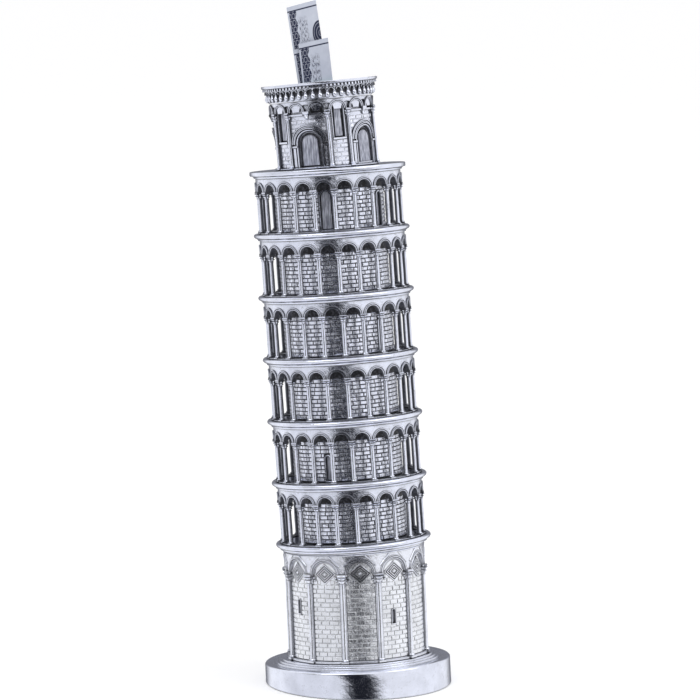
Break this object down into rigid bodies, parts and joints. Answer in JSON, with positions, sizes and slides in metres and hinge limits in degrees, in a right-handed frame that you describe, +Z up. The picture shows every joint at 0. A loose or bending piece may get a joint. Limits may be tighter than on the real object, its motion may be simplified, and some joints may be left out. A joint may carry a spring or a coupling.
{
  "type": "leaning tower money box",
  "caption": "Leaning round bell tower with open arcaded galleries on a round plinth, made as a money box with a slotted roof, folded notes in the slot and a stopper underneath.",
  "frame": {"origin": "centre of the underside, at the stopper's outer face just above the plane that the felt rests on", "axes": "+Z up, -Y to the front, where a column of every gallery and the middle of a ground-storey bay stand; the tower leans to the left and back, towards -X and +Y: 3.65 degrees at the foot, 4.8 in the galleries and 6.2 in the belfry"},
  "size_m": [0.1158, 0.1137, 0.3944],
  "materials": {
    "silver": "bright plated silver with black patina left in the joints and hollows",
    "dull_silver": "unpolished plated silver",
    "rubber": "matt black rubber",
    "felt": "dark felt",
    "printed_paper": "matt pale blue-grey paper with a dark blue-grey printed pattern"
  },
  "bodies": {
    "tower": {"plinth": "silver", "base_plate": "dull_silver", "felt_pad": "felt", "ground_storey": "silver", "ground_cornice": "silver", "gallery_1_arcade": "silver", "gallery_1_wall": "silver", "gallery_1_cornice": "silver", "gallery_2_arcade": "silver", "gallery_2_wall": "silver", "gallery_2_cornice": "silver", "gallery_3_arcade": "silver", "gallery_3_wall": "silver", "gallery_3_cornice": "silver", "gallery_4_arcade": "silver", "gallery_4_wall": "silver", "gallery_4_cornice": "silver", "gallery_5_arcade": "silver", "gallery_5_wall": "silver", "gallery_5_cornice": "silver", "gallery_6_arcade": "silver", "gallery_6_wall": "silver", "gallery_6_cornice": "silver", "belfry_drum": "silver", "belfry_cornice": "silver", "roof_plate": "silver"},
    "stopper": {"stopper": "rubber"},
    "note_rear": {"note_rear": "printed_paper"},
    "note_middle": {"note_middle": "printed_paper"},
    "note_front": {"note_front": "printed_paper"}
  },
  "joints": [
    {"name": "stopper_pull", "type": "slide", "parent": "tower", "child": "stopper", "axis": [0, 0, -1], "range_m": [0, 0.025]},
    {"name": "note_rear_slide", "type": "slide", "parent": "tower", "child": "note_rear", "axis": [-0.1472, 0.0538, 0.9876], "range_m": [-0.046, 0.034]},
    {"name": "note_middle_slide", "type": "slide", "parent": "tower", "child": "note_middle", "axis": [-0.1507, 0.0538, 0.9871], "range_m": [-0.0215, 0.059]},
    {"name": "note_front_slide", "type": "slide", "parent": "tower", "child": "note_front", "axis": [-0.1109, 0.0539, 0.9924], "range_m": [-0.024, 0.056]}
  ]
}
